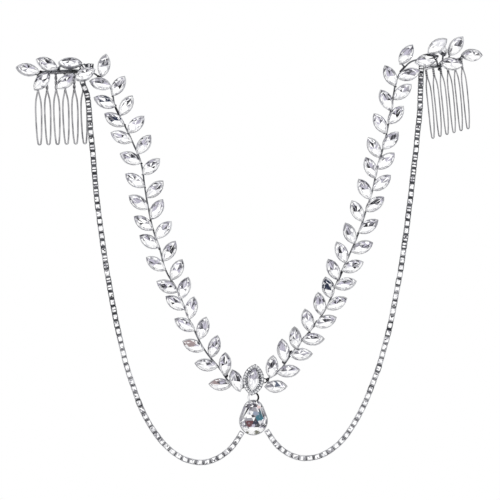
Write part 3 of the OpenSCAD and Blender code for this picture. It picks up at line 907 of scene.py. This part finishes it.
def eye(bm, at, out, hole, thick):
    """A flat round eye with its hole along Z."""
    ring = bmesh.new()
    bmesh.ops.create_circle(ring, segments=20, radius=(out + hole) / 2,
                            matrix=Matrix.Translation((0, 0, -thick / 2)))
    edge = bmesh.ops.extrude_edge_only(ring, edges=ring.edges[:])["geom"]
    bmesh.ops.translate(ring, vec=(0, 0, thick),
                        verts=[g for g in edge if isinstance(g, bmesh.types.BMVert)])
    bmesh.ops.recalc_face_normals(ring, faces=ring.faces)
    bmesh.ops.solidify(ring, geom=ring.faces[:], thickness=out - hole)
    bmesh.ops.recalc_face_normals(ring, faces=ring.faces)
    bmesh.ops.transform(ring, matrix=Matrix.Scale(mm, 4), verts=ring.verts)
    mesh = bpy.data.meshes.new("eye")
    ring.to_mesh(mesh)
    ring.free()
    placed(bm, mesh, at)
    bpy.data.meshes.remove(mesh)


halo = bmesh.new()
facet = halo.loops.layers.float_color.new("facet")
placed(halo, plate, halo_at, 2)
luck = random.Random("halo")
# Columns: length and width of the row, how many lie on each side, whether they are beads
for length, width, count, beads in [(12.6, 8.0, 12, False), (11.0, 6.0, 14, True)]:
    radius = (length * length + width * width) / (4 * width)
    sweep = math.asin(length / 2 / radius)
    for side in (-1, 1):
        for i in range(count):
            a = -sweep + 2 * sweep * (i + 0.5) / count
            seat = Vector((radius * math.sin(a), pave_y,
                           side * (radius * math.cos(a) - radius + width / 2)))
            at = halo_at @ Matrix.Translation(seat * mm)
            if beads:
                placed(halo, blob, at @ Matrix.Scale(bead, 4), 0)
                continue
            placed(halo, collar, at, 0)
            # The pave stones' facets are painted black, grey and white at random, as reflections
            for face in placed(halo, pave, at, 1):
                paint(face, facet, drawn(luck, (black, 0.1), (grey, 0.2), (white, 1)))
for lug, bearing in [(left_lug, left_bearing), (right_lug, right_bearing)]:
    eye(halo, Matrix.Translation(Vector(lug) * mm) @ Matrix.Rotation(-bearing, 4, "Y"),
        **side_eye)
eye(halo, Matrix.Translation(Vector((halo_x, lower_eye_y, halo_eye_z)) * mm)
    @ Matrix.Rotation(math.pi / 2, 4, "Y"), **lower_eye)
piece("halo_pave", halo, [silver, crystal, painted_shade_silver], "halo_setting")

# ---------------------------------------------------------------------------------------------
# Halo stone. A foiled crystal navette like the leaves' stones, with one more row of facets, set
# upright in the halo with its crown proud of the paving.
halo_stone_l = 10.3
halo_stone_w = 5.1
halo_stone_girdle = 1.2
halo_stone_crown = [(0.5, 0.55), (0.4, 0.35), (0.4, 0.25)]
halo_crystal = bmesh.new()
cut_stone(halo_crystal, navette(halo_crystal, halo_stone_l, halo_stone_w, cup_steps),
          halo_stone_girdle, halo_stone_crown)
halo_crystal = base_mesh("halo stone", halo_crystal,
                         Matrix.Translation((0, -cup_back - floor_t - fit, 0)))
centre_stone = bmesh.new()
facet = centre_stone.loops.layers.float_color.new("facet")
luck = random.Random("halo stone")
for face in placed(centre_stone, halo_crystal, halo_at):
    # Painted reflection: dark, grey and lavender above, pale and white below
    up = face.calc_center_median().z / mm - halo_z
    if up > 0.3:
        tone = drawn(luck, (dark, 0.16), (grey, 0.3), (lavender, 0.3), (white, 1))
    else:
        tone = drawn(luck, (pale_grey, 0.2), (white, 1))
    paint(face, facet, tone)
piece("halo_crystal", centre_stone, [crystal], "halo_stone")

# ---------------------------------------------------------------------------------------------
# Rings. Two small link rings tie the vines to the halo, and a wider one lets the drop swing. They
# are plain round silver wire, closed with a touch of solder; the two small ones are coloured near
# black all over, and the wide one has a painted shadow on its right, from shadow_x on, in metres.
shadow_x = 0.0858
ring_silver = silver_finish("ring silver", (0.85, 0.85, 0.87, 1), (0.6, 0.6, 0.63, 1), 0.12)
ring = Shade(ring_silver.node_tree)
# Painted shadow: the ring's silver turns near black from shadow_x on
shadow = ring.node("SeparateXYZ", {}, {0: ring.node("TexCoord", {}, {}, "Object")}, "X") > shadow_x
base = ring_silver.node_tree.nodes["Principled BSDF"].inputs["Base Color"]
plated = Shade(ring_silver.node_tree, base.links[0].from_socket)
ring_silver.node_tree.links.new(ring.mix(shadow, plated, (0.01, 0.01, 0.012, 1)).socket, base)
# The two small rings take the near-black finish of the solder and painted shade
for name, finish in [("left_link", solder), ("right_link", solder), ("drop_ring", ring_silver)]:
    ring_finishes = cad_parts[name].data.materials
    ring_finishes.clear()
    ring_finishes.append(finish)

# ---------------------------------------------------------------------------------------------
# Drop. A pear-shaped crystal in a thin silver cup with an open back, which hangs from the wide
# ring by an eye. Its facets are painted with the foil's reflections: bits of blue, wine red and
# olive among greys, and pale below.
drop_z = -153.45
drop_at = Matrix.Translation(Vector((halo_x, vine_y, drop_z)) * mm)
drop_r = 6.0
drop_top_r = 4.3
drop_reach = 4.7
drop_wall = 0.35
drop_ledge = 1.6
drop_side = 2.3
drop_girdle = 2.1
drop_crown = [(0.7, 0.75), (0.7, 0.55), (0.7, 0.4)]
drop_eye_z = -145.4
bright_below = -3


def pear(bm, grow):
    """The drop's outline, grown by so much: two arcs and two straight sides, filled as one face."""
    wide = drop_r + grow
    narrow = drop_top_r + grow
    lean = math.acos((drop_r - drop_top_r) / drop_reach)
    ends = []
    for radius, up, start, sweep, steps in [
        (wide, 0, math.pi / 2 + lean, math.tau - 2 * lean, 20),
        (narrow, drop_reach, math.pi / 2 - lean, 2 * lean, 8)
    ]:
        first = bm.verts.new((radius * math.cos(start), 0, up + radius * math.sin(start)))
        last = bmesh.ops.spin(bm, geom=[first], cent=(0, 0, up), axis=(0, 1, 0), angle=-sweep,
                              steps=steps)["geom_last"]
        ends.append((first, [g for g in last if isinstance(g, bmesh.types.BMVert)][0]))
    bm.edges.new((ends[0][1], ends[1][0]))
    bm.edges.new((ends[1][1], ends[0][0]))
    bmesh.ops.contextual_create(bm, geom=bm.edges[:])
    return facing_front(bm)


drop_cup = bmesh.new()
back_face = pear(drop_cup, drop_wall)
cup_face = raised(drop_cup, back_face, drop_side)
# Columns: how far inwards each new edge of the cup lies, and how far up
for inwards, upwards in [
    (0.08, 0.1), (0.19, 0), (0.08, -0.1), (no_width, floor_t - drop_side), (drop_ledge, 0)
]:
    bmesh.ops.inset_region(drop_cup, faces=[cup_face], thickness=inwards, depth=upwards)
bmesh.ops.inset_region(drop_cup, faces=[back_face], thickness=drop_wall + drop_ledge)
opening = list(cup_face.edges) + list(back_face.edges)
bmesh.ops.delete(drop_cup, geom=[cup_face, back_face], context="FACES_ONLY")
bmesh.ops.bridge_loops(drop_cup, edges=opening)
drop_cup = base_mesh("drop cup", drop_cup, Matrix.Translation((0, -cup_back, 0)))
setting = bmesh.new()
placed(setting, drop_cup, drop_at)
eye(setting, Matrix.Translation(Vector((halo_x, lower_eye_y, drop_eye_z)) * mm)
    @ Matrix.Rotation(math.pi / 2, 4, "Y"), **lower_eye)
piece("drop_cup", setting, [silver], "drop_setting")

drop_crystal = bmesh.new()
drop_face = raised(drop_crystal, pear(drop_crystal, -fit), drop_girdle)
for inwards, upwards in drop_crown:
    bmesh.ops.inset_region(drop_crystal, faces=[drop_face], thickness=inwards, depth=upwards)
bmesh.ops.triangulate(drop_crystal, faces=[f for f in drop_crystal.faces if len(f.verts) == 4],
                      quad_method="ALTERNATE")
# The facets behind the table show through it as a patchwork, cut by three sets of lines. Columns:
# bearing of a set, how far apart its lines are
luck = random.Random("drop facets")
patches = [drop_face, *drop_face.edges, *drop_face.verts]
for turn, apart in [(28, 1.7), (152, 1.7), (90, 1.5)]:
    across = Vector((math.cos(math.radians(turn)), 0, math.sin(math.radians(turn))))
    for k in range(-5, 9):
        lean = luck.uniform(-0.12, 0.12)
        normal = Vector((across.x - lean * across.z, 0, across.z + lean * across.x))
        cut = bmesh.ops.bisect_plane(drop_crystal, geom=patches, plane_no=normal,
                                     plane_co=across * (k * apart + luck.uniform(-0.3, 0.3)))
        patches = cut["geom"]
drop_crystal = base_mesh("drop crystal", drop_crystal,
                         Matrix.Translation((0, -cup_back - floor_t - fit, 0)))
# Painted reflections of what the foil mirrors. Columns: x and z in the drop, reach, colour
painted_reflections = [
    (-1.8, 6.6, 1.1, (0.06, 0.055, 0.07)), (0.8, 6.9, 1.0, (0.05, 0.045, 0.06)),
    (2.3, 6.3, 0.7, (0.80, 0.62, 0.62)), (1.3, 3.7, 1.0, (0.25, 0.29, 0.38)),
    (2.6, 1.7, 1.75, (0.045, 0.15, 0.20)), (0.9, -0.9, 1.25, (0.03, 0.035, 0.06)),
    (-1.9, -1.2, 1.45, (0.12, 0.045, 0.055)), (1.5, -4.95, 1.1, (0.19, 0.19, 0.15)),
    (-2.4, -4.9, 0.55, (0.19, 0.19, 0.15)), (-4.3, 2.0, 1.4, (0.45, 0.45, 0.47))
]
drop_stone = bmesh.new()
facet = drop_stone.loops.layers.float_color.new("facet")
luck = random.Random("drop")
for face in placed(drop_stone, drop_crystal, drop_at):
    here = (drop_at.inverted() @ face.calc_center_median()) / mm
    # Facets are painted as reflections: greys and lavender at random, pale and white below
    # bright_below
    tone = drawn(luck, (black, 0.06), (dark, 0.13), (grey, 0.24), (lavender, 0.14),
                 (pale_grey, 0.16), (white, 1))
    if here.z < bright_below:
        tone = drawn(luck, (pale_grey, 0.2), (white, 1))
    for x, z, reach, colour in painted_reflections:
        if (here.x - x) ** 2 + (here.z - z) ** 2 < reach ** 2:
            tone = colour
    on_back = here.y > -floor_t - 0.2
    if on_back:
        tone = grey
    paint(face, facet, tone)
piece("drop_crystal", drop_stone, [crystal], "drop_stone")
